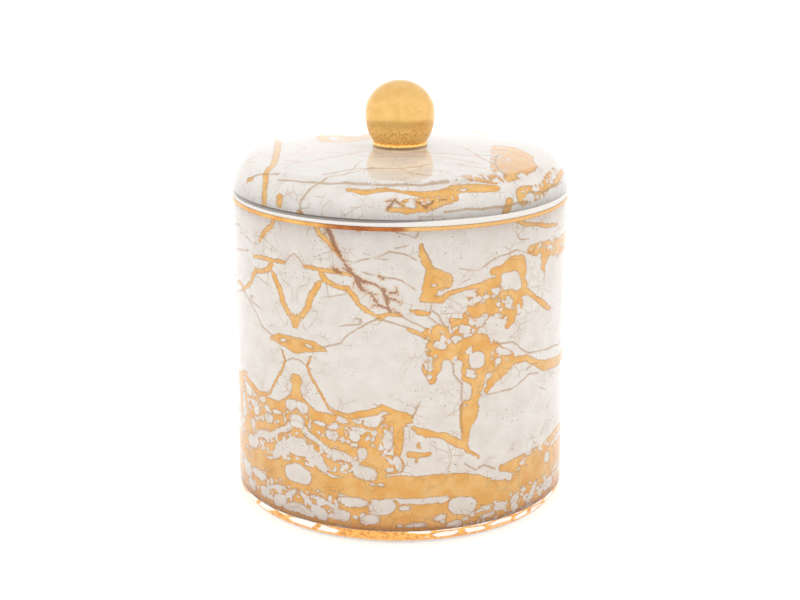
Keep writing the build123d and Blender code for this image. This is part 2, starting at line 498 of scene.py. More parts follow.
JAR_GOLD = on_jar(
    # the broad band near the foot
    [(0, 18.7, 3.8), (5, 18.9, 3.6), (10, 18.4, 3), (15, 18.3, 2.1), (20, 18.5, 3.2), (24, 17.5, 3.4)],
    [(24, 17.5, 3.4), (28, 17.3, 2.8), (35, 18.5, 3.6), (40, 18.8, 3.7), (50, 19, 3.5), (55, 19, 3.7)],
    [(55, 19, 3.7), (60, 18, 3.9), (65, 16.5, 4.3), (70, 14, 4), (75, 14, 2.7), (82, 14.5, 2.8),
     (90, 16, 3.2)],
    [(90, 16, 3.2), (100, 16, 4), (112, 16, 4)],
    # the foot below it
    [(0, 5.3, 0.5), (8, 4.8, 0.7), (15, 5.2, 1), (25, 4.8, 1.1), (36, 6, 1.2)],
    [(34, 8, 3.4), (40, 8.5, 4.6), (50, 8.6, 4.6), (54, 9, 3.6), (58, 8.6, 2.2)],
    [(0, 1.2, 0.8), (40, 1.2, 0.8), (46, 2.4, 1.8), (56, 2.4, 1.6), (62, 1.2, 0.8), (112, 1.2, 0.9)],
    [(17, 10.6, 0.6), (22, 10.9, 0.7), (28, 11, 0.6)],
    # leaf among the stones on the left of the middle
    [(0, 49.5, 2), (0, 47.5, 1.4), (0.6, 45.3, 1.3), (3, 43.2, 0.9), (5, 42, 1), (6.5, 41, 1.1),
     (8, 39.5, 1.1), (10, 38.9, 0.9)],
    [(16.5, 32, 0.9), (21, 28, 1.1)],
    [(10.5, 26.3, 0.8), (17, 24.6, 0.6)],
    # the line under the great stone, the block below its middle and the column
    [(16, 41.5, 0.6), (18, 41, 0.8), (21, 41, 0.9), (23, 41.5, 0.9), (26, 42.3, 0.9), (30, 43, 1.1),
     (32, 44.4, 0.9)],
    [(32, 44.4, 0.9), (34, 43.8, 0.9), (36, 42.9, 0.9), (40, 42.3, 0.7), (42, 41.5, 0.5)],
    [(33.6, 40.6, 1.6), (36.5, 40.4, 2.2), (40, 40.2, 1.9)],
    [(37.7, 38, 1.6), (37.6, 33, 1.4), (37.3, 28.6, 1)],
    [(31.4, 26.2, 2.5), (31, 23, 2.2)],
    [(42.5, 38.2, 0.5), (44, 37, 1), (47, 36, 1.3), (50, 35.4, 0.9), (53, 34.6, 1.1), (55, 33.2, 1.3),
     (58, 31.8, 1.3)],
    [(58, 31.8, 1.3), (60.6, 30.7, 1), (62, 29, 0.6), (64, 27.8, 0.4), (66, 26.4, 0.3)],
    [(41.5, 29.3, 1), (44.5, 28.9, 0.8), (48, 29.3, 0.6)],
    [(43.9, 28.6, 0.5), (43.3, 27.2, 0.3)],
    [(44, 32.8, 0.4), (44.3, 31.6, 0.5)],
    # the river on the right
    [(60.4, 31, 0.9), (60.6, 36, 1.5), (62.3, 40, 2.5), (62.8, 43.5, 2.8), (63.4, 47, 2.6),
     (65, 51, 2.4)],
    [(65, 51, 2.4), (66.6, 54, 1.8), (69, 58, 1.5), (68.4, 61, 1.9), (66.4, 64, 2)],
    [(59.4, 60, 0.8), (60, 56, 0.7), (60.2, 52.6, 0.8), (63, 51, 0.9)],
    [(59.4, 44, 0.5), (59.4, 37, 0.7)],
    [(56, 61.6, 1.2), (61, 63.4, 1.6), (65, 64.4, 1.6)],
    [(60.5, 75, 0.8), (62.4, 73.6, 1.2), (65, 72.6, 1.8), (68, 73.6, 2.1), (71.5, 74.8, 1.4)],
    [(57.8, 70.3, 0.9), (60.6, 70.7, 0.8)],
    [(75, 71.6, 0.6), (78.6, 70.8, 1.3), (79.3, 68.8, 1.4), (77, 66.9, 0.9)],
    [(64.5, 81.3, 0.6), (69, 81.4, 1.5), (72.6, 81.6, 1.3), (73.2, 84, 0.9)],
    [(71, 84.7, 1.2), (75, 84.9, 1.3), (78.5, 86.2, 2.2), (82.4, 86.2, 2.4), (84, 83.2, 1.7),
     (84, 80.5, 0.8), (84.8, 78.4, 1.3)],
    [(79.8, 75.2, 1.1), (83, 76.2, 1.6), (86.4, 76.4, 1), (91, 73.6, 0.7), (97, 70, 1.1),
     (101, 67.4, 0.7)],
    [(90.5, 87.8, 0.6), (95, 87.4, 1.8), (97, 85, 1.9), (95.6, 82.4, 1.2), (96.6, 80.6, 0.4)],
    # the leaf-shaped patch, its stem and its foot
    [(47.8, 88, 1.1), (48.6, 85, 2), (48.2, 81.5, 2.5)],
    [(50, 85.6, 1.9), (53.2, 83.6, 2.1)],
    [(50.4, 82.6, 2), (53.6, 82.4, 1.7)],
    [(44.6, 78.3, 0.5), (46.6, 79, 1.5), (49.5, 78.3, 1.3), (52, 77.7, 1), (54.5, 79.2, 0.7),
     (60, 80.5, 0.6), (65.5, 81.2, 0.8)],
    [(45, 94.6, 0.5), (45.5, 91.6, 1), (46.8, 89.2, 1.2)],
    # the V, its heart and the patch below it
    [(3.2, 70.6, 0.9), (5.8, 74, 1), (7, 77.4, 1), (9.2, 80.6, 1.1), (10.8, 82, 0.5)],
    [(-0.5, 68.2, 2), (1.4, 69.6, 1.1)],
    [(-1, 60.6, 2.7), (3.5, 61, 2.2), (7, 61.4, 1.7), (10, 61.2, 1), (12, 60.7, 0.4)],
    # strokes across the upper left
    [(4.4, 86.3, 0.5), (10.4, 85.8, 0.7), (16.4, 86, 0.7), (21.4, 85, 0.5)],
    [(10.6, 84.8, 0.8), (12.6, 82.9, 1.1), (16.4, 81.3, 0.6), (20.4, 80.9, 0.8), (22.4, 79.2, 0.8),
     (24.6, 76.2, 0.7)],
    [(24.6, 76.2, 0.7), (26.6, 74.6, 0.9), (29.4, 73.2, 0.4), (31.6, 72.3, 0.9), (34, 73.7, 0.5),
     (38.4, 73.5, 0.5)],
    [(8.9, 99.2, 0.8), (10.4, 96.6, 0.8), (12.6, 95.2, 0.8), (15, 93.4, 0.8), (17.6, 90.8, 0.5)],
    [(41.2, 75.3, 0.4), (44.2, 74.4, 0.9), (47.4, 73.8, 0.7)],
    [(23.4, 99.8, 0.4), (24.6, 98.8, 0.4)],
    # outline strokes with leaf in them
    [(6.4, 58, 0.3), (4.9, 55, 0.4), (7.4, 50.4, 0.4), (10.4, 46.5, 0.4), (13.4, 42.6, 0.4),
     (16.4, 41, 0.5)],
    [(41, 69.2, 0.5), (44, 67.6, 0.6), (46.4, 66, 0.4)],
    [(68.8, 47.8, 0.9), (72, 50.4, 1), (76, 52.6, 1.3), (80.4, 55, 1.2), (86.4, 54.7, 1.1),
     (92, 52, 1.1), (99, 49.5, 1.7)],
    [(99, 49.5, 1.7), (112, 47.5, 1.8)],
    [(80, 99.4, 0.5), (84.4, 97.5, 0.8), (88.4, 96.8, 0.5), (95.4, 95.5, 0.8), (106, 94, 0.5)],
    [(48.2, 62.6, 0.9), (48.5, 65.8, 0.9), (49.6, 68.2, 1.1), (51, 69.4, 0.9), (53, 68.6, 0.9),
     (54.4, 66.6, 0.6)],
    [(50, 55.5, 1.1), (51.5, 58, 1.2), (52.5, 60.4, 1.3)],
)
JAR_CRUSHED = on_jar(
    [(0, 45, 0.8), (1, 36, 6), (10, 35, 6.2), (18, 34, 6.4), (26, 34, 6.2), (31, 34.6, 5)],
    [(2, 25.6, 4), (12, 25.6, 3.8), (20, 25, 4), (30, 26, 3.6), (36, 26, 3)],
    [(0, 8.4, 7.6), (31, 8.4, 7.6)],
    [(56, 8, 7), (75, 7, 6), (112, 8, 6.6)],
    [(51, 62.6, 4), (60, 62, 5.6), (70, 58, 5), (78, 56.5, 2.2)],
    [(61, 71, 5.4), (69, 77, 4.8), (79, 73, 4.6)],
    [(48, 56.6, 2.6), (49, 53, 1.2)],
    [(47, 68, 1.4), (51, 67, 2.6)],
    [(70, 50, 1.2), (76, 54, 2.2)],
    [(76, 21, 1.2), (84, 20, 3), (98, 20, 3.6), (112, 22, 3)],
    [(88, 89, 1.5), (97, 88, 2.5), (112, 86, 3)],
)
JAR_VEINS = on_jar(
    [(-4.4, 87.2, 0.2), (-2.6, 89.2, 0.14), (0, 89.7, 0.14), (2, 88.8, 0.16), (4, 86.7, 0.2)],
    [(9.9, 91, 0.1), (11.4, 86.5, 0.14)],
    [(12.9, 82, 0.14), (13.6, 77.5, 0.1)],
    [(10.9, 77.3, 0.08), (19.6, 79.2, 0.12), (20.4, 80.8, 0.12)],
    [(9.6, 61, 0.2), (13, 62.5, 0.22), (17.4, 63.7, 0.2), (19.4, 66, 0.22), (23.4, 68.5, 0.2),
     (28.4, 71.3, 0.22), (31.4, 72.3, 0.4)],
    [(16.8, 69.2, 0.1), (20, 69.6, 0.2), (24.6, 70.2, 0.22), (25, 71.6, 0.24), (23.2, 72, 0.2)],
    [(18.4, 89.6, 0.14), (23.4, 89.2, 0.18), (26, 90, 0.18), (30, 90.7, 0.3), (33.8, 90.6, 0.12)],
    [(26, 91.9, 0.14), (28.2, 91.6, 0.2), (30, 90.9, 0.3), (32.6, 92, 0.16), (34.4, 92.9, 0.22),
     (39.4, 92.4, 0.22), (43.4, 90.2, 0.16)],
    [(25.4, 86.4, 0.14), (27, 86.1, 0.24), (29.8, 85.8, 0.14)],
    [(31, 85.5, 0.3), (33, 84.9, 0.3), (36, 84.7, 0.2), (38.6, 83.8, 0.2), (43, 81.2, 0.14)],
    [(36.4, 94, 0.14), (40, 94.6, 0.14)],
    [(34, 99.4, 0.1), (40, 97.9, 0.22), (43.4, 96.9, 0.26), (44.3, 99, 0.24)],
    [(48.3, 89.4, 0.24), (46.6, 92.4, 0.14), (45.3, 95, 0.14)],
    [(57.5, 80.8, 0.12), (58, 82, 0.16), (60, 83, 0.16), (62, 83.6, 0.1)],
    [(58, 86.8, 0.1), (64, 86, 0.16), (66.5, 86.2, 0.16), (70, 88, 0.18), (74, 89.2, 0.22),
     (78, 89.4, 0.18), (80.6, 90.1, 0.24)],
    [(80.6, 90.1, 0.24), (83, 89.5, 0.2), (86, 88.4, 0.2), (89, 88, 0.2), (90.4, 89.4, 0.24)],
    [(81.4, 98.5, 0.12), (80.6, 95, 0.14), (82.4, 92.8, 0.2), (87, 92.6, 0.14)],
    [(97, 80, 0.2), (96.6, 76, 0.2), (95.4, 72.6, 0.2)],
    [(72, 61.9, 0.24), (79.6, 61.2, 0.24), (82, 60, 0.2), (84, 58, 0.24), (88, 56, 0.24),
     (95, 55.4, 0.24), (112, 53, 0.2)],
    [(87, 50.6, 0.24), (90, 51.8, 0.24), (94, 51.4, 0.14)],
    [(69, 46.4, 0.2), (74, 46.2, 0.24), (79, 46.4, 0.24), (83, 47.4, 0.24), (88.4, 49, 0.2),
     (94, 48.3, 0.2)],
    [(93, 44, 0.14), (99, 41.5, 0.16), (103, 38, 0.14), (100, 31, 0.14), (97, 27, 0.14)],
    [(59.6, 35, 0.2), (59.2, 40, 0.24), (59.6, 46, 0.24), (59.4, 51, 0.24), (56.6, 54, 0.24),
     (55.8, 58, 0.2)],
    [(48.4, 76.4, 0.2), (48, 74.4, 0.2), (47.6, 72.6, 0.22), (50, 70.8, 0.22)],
    [(48.5, 74.7, 0.2), (51, 72.8, 0.22), (52.6, 70.2, 0.22), (54.4, 69, 0.2)],
    [(36, 74.6, 0.16), (41, 72, 0.2), (44, 70.6, 0.18), (47, 69, 0.22)],
    [(32.4, 71.8, 0.24), (37, 70.7, 0.22), (41, 69.5, 0.22)],
    [(46, 66, 0.2), (48, 64.8, 0.24)],
    [(60.6, 25, 0.24), (65, 22.4, 0.2), (68, 23.6, 0.24), (73, 21.4, 0.24)],
    [(-4.9, 54.6, 0.2), (-1, 55.6, 0.16), (1.4, 56.4, 0.16), (4.9, 54.6, 0.2)],
    [(45.7, 50.5, 0.14), (45.4, 49, 0.18)],
    [(44.6, 46.4, 0.18), (43.6, 43.8, 0.2), (42, 41.6, 0.24)],
    [(47.9, 62, 0.3), (47.2, 58.5, 0.24), (46.8, 54, 0.16)],
    [(29, 45.4, 0.1), (31.4, 44.6, 0.16)],
)
JAR_DARK = on_jar(
    [(12.6, 99, 0.4), (13.8, 98, 0.75), (15.2, 95, 0.5), (16.4, 92.8, 0.7), (18.4, 90, 0.3),
     (19.4, 88.4, 0.2), (21.4, 86.6, 0.5)],
    [(13.6, 98, 0.3), (12, 97, 0.1)],
    [(15, 87.1, 0.3), (16.6, 86.3, 0.7), (18.2, 85.5, 0.3)],
    [(19, 87.3, 0.15), (21, 86.3, 0.5), (22.8, 84.8, 0.5), (24.4, 83.8, 0.7), (26, 83.4, 0.6),
     (28.8, 83.1, 0.3)],
    [(22.8, 84.6, 0.3), (24.2, 82.6, 0.6), (25.4, 80.9, 0.5), (28, 79.9, 0.35), (29.8, 77.8, 0.35),
     (30.6, 76.4, 0.3)],
    [(30.6, 76.4, 0.3), (32, 75.9, 0.3), (34, 75.5, 0.3), (36, 75, 0.2), (38, 74.2, 0.05)],
    [(28.8, 83.1, 0.25), (31.4, 82, 0.3), (32.7, 80.9, 0.6), (32.4, 79.8, 0.4), (33.4, 78.6, 0.7),
     (33.9, 76.4, 0.35), (34.9, 74.4, 0.45)],
    [(28, 79.9, 0.3), (30.4, 79.7, 0.2)],
    [(33.4, 78.8, 0.3), (36, 78.3, 0.35), (38, 77.4, 0.1)],
    [(34.4, 80.3, 0.25), (37, 80.3, 0.25), (36.6, 82, 0.05)],
    [(22.3, 81.4, 0.05), (22.7, 83.6, 0.15)],
    [(31, 85.4, 0.1), (32.6, 84.6, 0.3)],
    [(30, 77, 0.2), (28.2, 75.9, 0.1)],
)
JAR_STONES = on_jar([
    # set in the broad band
    (0.8, 19, 4.4, 3.1, -8), (28.5, 19.2, 0.9, 0.5, 0), (31.5, 19.2, 1, 0.5, 0), (79, 17.3, 1.4, 1.2, 0),
    (73, 18.7, 0.9, 0.9, 0), (102, 17.5, 1.8, 2, 0), (89, 23.5, 1.6, 1.5, 0), (73, 21, 2, 0.8, 10),
    (68, 24, 2.4, 0.8, -8),
    # left of the middle
    (0, 36.1, 3, 2.3, 0), (2.4, 41.3, 2.3, 1.9, -15), (9.7, 37.2, 2.4, 0.8, -5),
    (14.2, 34.3, 2.3, 1.6, -10),
    (14.3, 36.8, 1.6, 0.7, 10), (5.5, 32.4, 2.4, 1.1, -15), (9, 31, 2.4, 0.9, -25),
    (13.8, 28.6, 4.2, 1.1, -27),
    (18, 27.9, 4, 1.2, -22), (0.5, 28, 3.6, 3, 0), (6, 26.6, 4.8, 2.2, -28), (10, 23.6, 2.6, 1.6, -30),
    # middle
    (22.3, 35, 1.6, 1.9, 0), (24.8, 29.3, 1.5, 2, 0), (22, 32, 1.2, 0.7, 0), (27.4, 39.3, 1.8, 1.2, 0),
    (29.5, 40.2, 3.1, 1, 20), (34, 34, 1.6, 3.3, -3), (33, 30.3, 0.8, 0.9, 0), (19, 33, 0.6, 0.6, 0),
    (26, 23, 3.8, 2.2, -10), (22.5, 25.6, 1.6, 0.8, -20), (20.5, 23.3, 0.8, 0.5, 0),
    (37.3, 26.6, 1.2, 2.6, 12),
    (40.7, 26.9, 1, 2.3, 35), (34.5, 24.3, 1.2, 0.9, 0), (41.5, 34.2, 1.9, 3.6, 5),
    (41.5, 39, 1.2, 0.6, 0),
    # foot
    (21.5, 13.3, 5, 1.5, -4), (32, 12, 4.2, 2.6, 10), (17.5, 8.3, 2.8, 1.9, 0), (27.5, 7.8, 3.2, 1.5, 8),
    (3.7, 11.3, 3.4, 1, -38), (12, 11.4, 4.4, 0.8, -24), (1, 7.4, 4.5, 1.5, -8), (9, 7.8, 3.4, 1.9, -25),
    (2, 3, 4.6, 1, 0), (14, 3.2, 5, 0.8, -5), (20, 3.4, 5, 0.8, -8), (37, 3.2, 6, 0.7, 0),
    (43.5, 6, 3.4, 0.8, 0),
    (38, 6, 1, 0.5, 0), (39.5, 11.8, 1.6, 0.8, 0), (44.5, 14, 2.5, 0.9, 0), (53, 14, 2.2, 1, 8),
    (52, 8.2, 2.2, 1.1, 10),
    (53, 6.8, 1, 0.7, 0), (60, 11.3, 4.6, 3, -8), (57, 5.7, 2.4, 1, 15), (63, 2.7, 2, 0.5, 8),
    (67, 8.8, 2.2, 0.6, 8),
    (70, 6.6, 2.9, 0.9, 6), (70, 3.4, 2.7, 0.7, 8), (75, 8.5, 2.2, 1.5, 0), (82, 9, 2.2, 1.5, 30),
    (91.5, 8.8, 4.2, 1.3, 50),
    (29, 3.3, 3, 0.7, 0), (80, 4, 3.4, 0.9, 6), (90, 4, 3.6, 0.9, 0), (103, 8, 4, 2, 0),
    # in and round the river
    (61.4, 48, 1.4, 2.5, 0), (64.8, 57.8, 2.7, 2.7, -8), (62.6, 53.2, 1.9, 0.9, -25),
    (58, 57, 1.4, 1.9, -12),
    (60.6, 44, 0.6, 0.4, 0), (66.6, 44.6, 1, 2, -20), (69.4, 52, 1.1, 0.9, 20),
    (73.6, 56, 1.2, 1.1, 0),
    (76, 58.6, 3.2, 1.2, -20), (76.6, 64.4, 2.8, 1.1, 4), (60.2, 68, 2, 1.4, 0),
    (66.4, 70, 2.8, 1.3, 35),
    (69.3, 67.2, 1.6, 1.6, 0), (77.4, 80.5, 3, 2.3, 0), (77.6, 74, 1.6, 1.6, 0), (73, 74.3, 1, 0.8, 0),
    (62, 78.6, 2.3, 0.7, 5), (64.4, 76.6, 2.4, 1, 8), (72, 78, 2.2, 0.8, 40), (58, 75, 3.4, 2.6, 50),
    (93.2, 86.4, 0.9, 0.9, 0),
    (52, 79.9, 1.9, 0.5, 25), (49.2, 82.2, 0.8, 0.4, 0), (51.4, 63.6, 2.2, 1.3, -16),
    (57.4, 65.4, 2, 0.8, -10),
    (48, 56.3, 0.9, 1, 0), (48, 53.7, 0.8, 0.8, 0), (5.6, 61.2, 1.6, 0.5, -14),
    (53.6, 57.4, 1.4, 1.6, 0),
])[0]

JAR_ART = {
    "gold": JAR_GOLD,
    "crushed": JAR_CRUSHED,
    "veins": JAR_VEINS,
    "dark": JAR_DARK,
    "stones": JAR_STONES,
}

LID_GOLD = [
    [(-43, 30, 0.8), (-40, 16, 1.1), (-39.4, 4, 1), (-39, -8, 1), (-38.8, -20, 1),
     (-40, -28.5, 1.1)],
    [(-40, -28.5, 1.1), (-43, -33, 1.2), (-47.6, -36.5, 1)],
    [(-38.6, -39.2, 1.4), (-37.6, -38.2, 1.4)],
    [(-27, 30, 0.9), (-26, 22, 2.2), (-24, 13, 1.6), (-16, 10, 0.9)],
    [(-20, 36, 1), (-8, 40, 1.6), (4, 38, 0.9)],
    [(-15, -45, 0.7), (-10, -47, 1.3), (-4, -46.2, 0.9)],
    [(-4, -46.2, 0.5), (2, -48, 0.9), (7, -48.6, 1.2), (12, -47, 1.4), (16, -44.6, 2),
     (22, -42.2, 1.8), (28, -40, 1.3)],
    [(36, 4, 2), (38, -8, 3.8), (38, -20, 3.4), (34, -30, 2.2), (31.5, -34, 1.2)],
    [(34, -42, 1.4), (35.4, -46.5, 1.6)],
    [(30, 30, 1.2), (22, 44, 2.2), (10, 50, 1.2)],
    [(-3, -54, 0.6), (2, -54.6, 0.8), (8, -53.6, 0.8), (13, -49.4, 0.9)],
    [(-47, -21, 0.8), (-45, -23, 0.6)],
    [(44, -30, 0.8), (49, -20, 1), (51, -8, 0.8)],
]
LID_CRUSHED = [
    [(33, 4, 3.5), (32, -18, 4), (30, -30, 2.5)],
    [(-21, 24, 4), (-13, 14, 3.5), (-6, 30, 3)],
    [(2, -52.6, 1.8), (9, -51.4, 2), (16, -48, 1.4)],
    [(38, -37, 2.8), (44, -30, 2), (48, -16, 2)],
    [(-33, -46, 0.8), (-32, -48, 1)],
    [(20, -38, 1.6), (28, -36, 1.8)],
]
LID_VEINS = [
    [(-36, -20, 0.2), (-25, -17, 0.3), (-18, -12, 0.24), (-11, -7, 0.16)],
    [(-31, -44, 0.3), (-26, -41, 0.3), (-20, -38, 0.3), (-14, -34, 0.3), (-8, -30, 0.34), (0, -31, 0.34),
     (6, -28, 0.3), (13, -21, 0.2)],
    [(-23, -36, 0.24), (-16, -31, 0.3), (-8, -29.6, 0.34)],
    [(0, -31, 0.3), (5, -36, 0.3), (10, -38.4, 0.2)],
    [(-36, -32, 0.34), (-28, -37, 0.3), (-20, -41, 0.3), (-12, -43, 0.3), (-4, -44.4, 0.3),
     (6, -44.4, 0.3), (14, -42, 0.3)],
    [(-36, -14, 0.2), (-30, -19, 0.14)],
    [(-47, -21, 0.3), (-42, -24, 0.34), (-36, -29, 0.3)],
    [(30, -10, 0.4), (29, -22, 0.4), (31, -33, 0.4)],
    [(22, -4, 0.2), (25, -14, 0.3), (29, -22, 0.3)],
    [(-12, -20, 0.16), (-14, -30, 0.2), (-17, -38, 0.16)],
    [(-34, 10, 0.24), (-30, 2, 0.2), (-34, -8, 0.2)],
    [(40, -34, 0.3), (46, -28, 0.3), (52, -14, 0.3)],
    [(14, -53, 0.3), (26, -48.6, 0.34), (33, -44, 0.4), (42, -36, 0.3)],
    [(-31, -44, 0.4), (-33, -47.6, 0.4), (-32, -50, 0.3)],
    [(8, 20, 0.24), (16, 8, 0.2), (22, -4, 0.2)],
    [(12, 46, 0.3), (14, 30, 0.3), (8, 20, 0.24)],
    [(-44, 0, 0.2), (-47, -10, 0.16)],
    [(-30, 16, 0.2), (-14, 2, 0.24), (4, -8, 0.24), (20, -12, 0.3), (30, -10, 0.3)],
    [(-24, -6, 0.2), (-8, -16, 0.24), (10, -14, 0.24), (24, -22, 0.24)],
    [(-10, 22, 0.24), (2, 30, 0.2), (18, 28, 0.24), (30, 20, 0.3)],
    [(13, -21, 0.2), (22, -27, 0.24), (30, -30, 0.3)],
]
LID_DARK = [
    [(-3.6, -54, 0.4), (-1.4, -51, 0.4), (1, -53.4, 0.1)],
    [(-1.4, -51, 0.3), (-3.8, -51.4, 0.2)],
    [(4.4, -51, 0.3), (8, -53, 0.4), (10, -50.6, 0.2)],
    [(12, -50, 0.25), (14, -49, 0.2)],
]
LID_STONES = [
    (3, -52.6, 2, 1, -10), (18, -44.6, 1.4, 0.5, 30), (36, -30, 2, 1, 60),
    (41, -27, 2, 1.2, 60), (7, -52, 0.9, 0.6, 0), (47, -22, 1.6, 1, 60),
]

LID_ART = {
    "gold": LID_GOLD,
    "crushed": LID_CRUSHED,
    "veins": LID_VEINS,
    "dark": LID_DARK,
    "stones": LID_STONES,
}


# ---------------------------------------------------------------- other materials


def foot_paint(n, at):
    """The print ends on the ground foot: cream chips in gold, then a gold line, then bare ground glass."""
    angle, z = angle_and_height(n, at)
    along = n.math("MULTIPLY", angle, OUTER_RADIUS / MM / CHIP_STRETCH)
    flat = shaken(n, n.combine(along, z), 0.9, 0.3)
    chips = n.band(breccia_field(n, flat, 2.6, 0.3, 0.3), -0.08, 0.08)
    chips = n.math("MULTIPLY", chips, n.band(z, FOOT_LINE / MM, FOOT_LINE / MM + 0.2))
    bare = n.band(z, FOOT_BARE / MM, FOOT_BARE / MM + 0.15, 1.0, 0.0)
    gold = n.mix(n.band(n.noise(at, 0.9, 3.0), 0.4, 0.65), LEAF_DEEP, LEAF_SPECK)
    return n.mix(n.math("MAXIMUM", chips, bare), gold, STONE_SHADE)


def clear_glass(name, ground_below, lift=0.0, paint=None):
    """Clear glass with a faint haze, ground below a height that is lifted on the front's right.

    The ground part is white, or has the colours that paint gives.
    """
    material, n, shader = new_material(name, IOR=1.5)
    at = place_in_mm(n)
    angle, z = angle_and_height(n, at)
    low, high = ground_below / MM, (ground_below + lift) / MM
    limit = n.band(angle, math.radians(-14), math.radians(20), low, high)
    ground = n.band(n.math("SUBTRACT", z, limit), -0.1, 0.05, 1.0, 0.0)
    smear = n.band(n.noise(at, 0.05, 4.0, 0.6), 0.4, 0.75, 0.09, 0.14)
    below = paint(n, at) if paint else GROUND_WHITE
    n.put(n.math("MULTIPLY_ADD", ground, -0.9, 1.0), shader.inputs["Transmission Weight"])
    colour = n.mix(ground, GLASS_TINT, below)
    waves = n.bump(n.noise(at, 0.03, 2.0), 0.12, 0.6 * MM)
    dress(n, shader, colour, n.math("MULTIPLY_ADD", ground, 0.3, smear), waves)
    return material


def polished_gold():
    """Polished gold plate, grainy where it turns under towards the lid, with painted light making it
    brighter there.
    """
    material, n, shader = new_material("polished_gold", Metallic=1.0)
    at = place_in_mm(n)
    middle = (knob_high.z - KNOB_UPPER) / MM
    height = n.split(at)[2]
    low = n.band(height, middle - 1.5, middle - 5.0)
    colour = n.mix(n.band(n.noise(at, 0.35, 3.0), 0.35, 0.7), srgb(216, 175, 110), srgb(210, 168, 99))
    # painted light: a brighter colour on the lower part, where it turns under towards the lid
    colour = n.mix(low, colour, srgb(255, 208, 128))
    grain = n.noise(at, 1.4, 3.0, 0.7)
    dull = n.math("MULTIPLY", n.band(grain, 0.5, 0.62), n.math("MULTIPLY", low, 0.6))
    colour = n.mix(dull, colour, srgb(204, 138, 56))
    bright = n.math("MULTIPLY", n.band(grain, 0.44, 0.36), n.math("MULTIPLY", low, 0.6))
    colour = n.mix(bright, colour, srgb(255, 226, 150))
    roughness = n.math("MULTIPLY_ADD", low, 0.14, n.band(grain, 0.3, 0.7, 0.18, 0.26))
    waves = n.bump(n.noise(at, 0.18, 2.0), 0.2, 0.4 * MM)
    dress(n, shader, colour, roughness, n.bump(grain, 0.1, 0.06 * MM, waves))
    return material


def fired_gilding():
    """Bright gold, with painted shade turning it brown just left of the front, and paler tan right of it."""
    material, n, shader = new_material("fired_gilding", Metallic=1.0)
    at = place_in_mm(n)
    angle, _ = angle_and_height(n, at)
    tone = n.noise(at, 0.12, 4.0, 0.6)
    colour = n.mix(n.band(tone, 0.4, 0.62), srgb(216, 168, 100), srgb(204, 148, 82))
    # painted shade: darker brown just left of the front, where the rim lies in shade under the lid
    painted_shade_brown = n.mix(n.band(tone, 0.4, 0.6), srgb(172, 104, 56), srgb(146, 84, 48))
    brown = n.math("MULTIPLY", n.band(angle, -0.48, -0.34), n.band(angle, 0.0, 0.08, 1.0, 0.0))
    colour = n.mix(brown, colour, painted_shade_brown)
    colour = n.mix(n.band(angle, 0.0, 0.08, 0.0, 0.8), colour, srgb(204, 162, 108))
    roughness = n.band(n.noise(at, 1.6, 3.0), 0.3, 0.7, 0.18, 0.36)
    dress(n, shader, colour, roughness, n.bump(n.noise(at, 1.2, 3.0), 0.2, 0.06 * MM))
    return material


def cream_lacquer():
    """Smooth cream lacquer, faintly clouded and uneven."""
    material, n, shader = new_material("cream_lacquer", Coat_Weight=0.25, Coat_Roughness=0.15)
    at = place_in_mm(n)
    colour = n.mix(n.band(n.noise(at, 0.07, 4.0), 0.35, 0.7), srgb(240, 234, 222), srgb(231, 223, 208))
    roughness = n.band(n.noise(at, 0.4, 3.0), 0.3, 0.7, 0.3, 0.45)
    dress(n, shader, colour, roughness, n.bump(n.noise(at, 0.5, 3.0), 0.3, 0.1 * MM))
    return material


def felt():
    """Pressed beige felt with tangled fibres."""
    material, n, shader = new_material("felt", Sheen_Weight=0.5, Specular_IOR_Level=0.1)
    at = place_in_mm(n)
    fibres = n.noise(shaken(n, at, 0.8, 1.2), 2.6, 5.0, 0.75)
    colour = n.mix(n.band(fibres, 0.3, 0.7), srgb(214, 204, 184), srgb(186, 172, 148))
    dress(n, shader, colour, n.band(fibres, 0.3, 0.7, 0.85, 1.0), n.bump(fibres, 0.8, 0.3 * MM))
    return material


def milky_plastic():
    """White plastic that lets a little light through."""
    material, n, shader = new_material("milky_plastic", IOR=1.46, Transmission_Weight=0.25)
    at = place_in_mm(n)
    colour = n.mix(n.noise(at, 0.4, 3.0), srgb(252, 251, 248), srgb(244, 243, 240))
    roughness = n.band(n.noise(at, 0.5, 3.0), 0.3, 0.7, 0.2, 0.4)
    dress(n, shader, colour, roughness, n.bump(n.noise(at, 0.8, 3.0), 0.2, 0.1 * MM))
    return material


def soft_silicone():
    """Soft off-white silicone for the cushion and the washer."""
    material, n, shader = new_material("soft_silicone", Specular_IOR_Level=0.3)
    at = place_in_mm(n)
    colour = n.mix(n.noise(at, 0.6, 3.0), srgb(232, 230, 222), srgb(214, 212, 204))
    roughness = n.band(n.noise(at, 1.5, 3.0), 0.3, 0.7, 0.4, 0.6)
    dress(n, shader, colour, roughness, n.bump(n.noise(at, 1.8, 3.0), 0.3, 0.1 * MM))
    return material


def bright_steel():
    """Steel with the fine rings of turning."""
    material, n, shader = new_material("bright_steel", Metallic=1.0)
    at = place_in_mm(n)
    x, y, _ = n.split(at)
    turning = n.noise(n.combine(n.vector("LENGTH", n.combine(x, y)), 0.0), 6.0, 3.0)
    colour = n.mix(n.noise(at, 0.9, 4.0), srgb(206, 206, 208), srgb(176, 177, 180))
    dress(n, shader, colour, n.band(turning, 0.3, 0.7, 0.22, 0.42), n.bump(turning, 0.3, 0.08 * MM))
    return material


# ---------------------------------------------------------------- turned pieces


def arc(centre_r, centre_z, radius_r, radius_z, start, end, steps=16):
    """Points of an elliptical arc in the (radius, height) plane, with angles in degrees."""
    points = []
    for i in range(steps + 1):
        angle = math.radians(start + (end - start) * i / steps)
        points.append((centre_r + radius_r * math.cos(angle), centre_z + radius_z * math.sin(angle)))
    return points


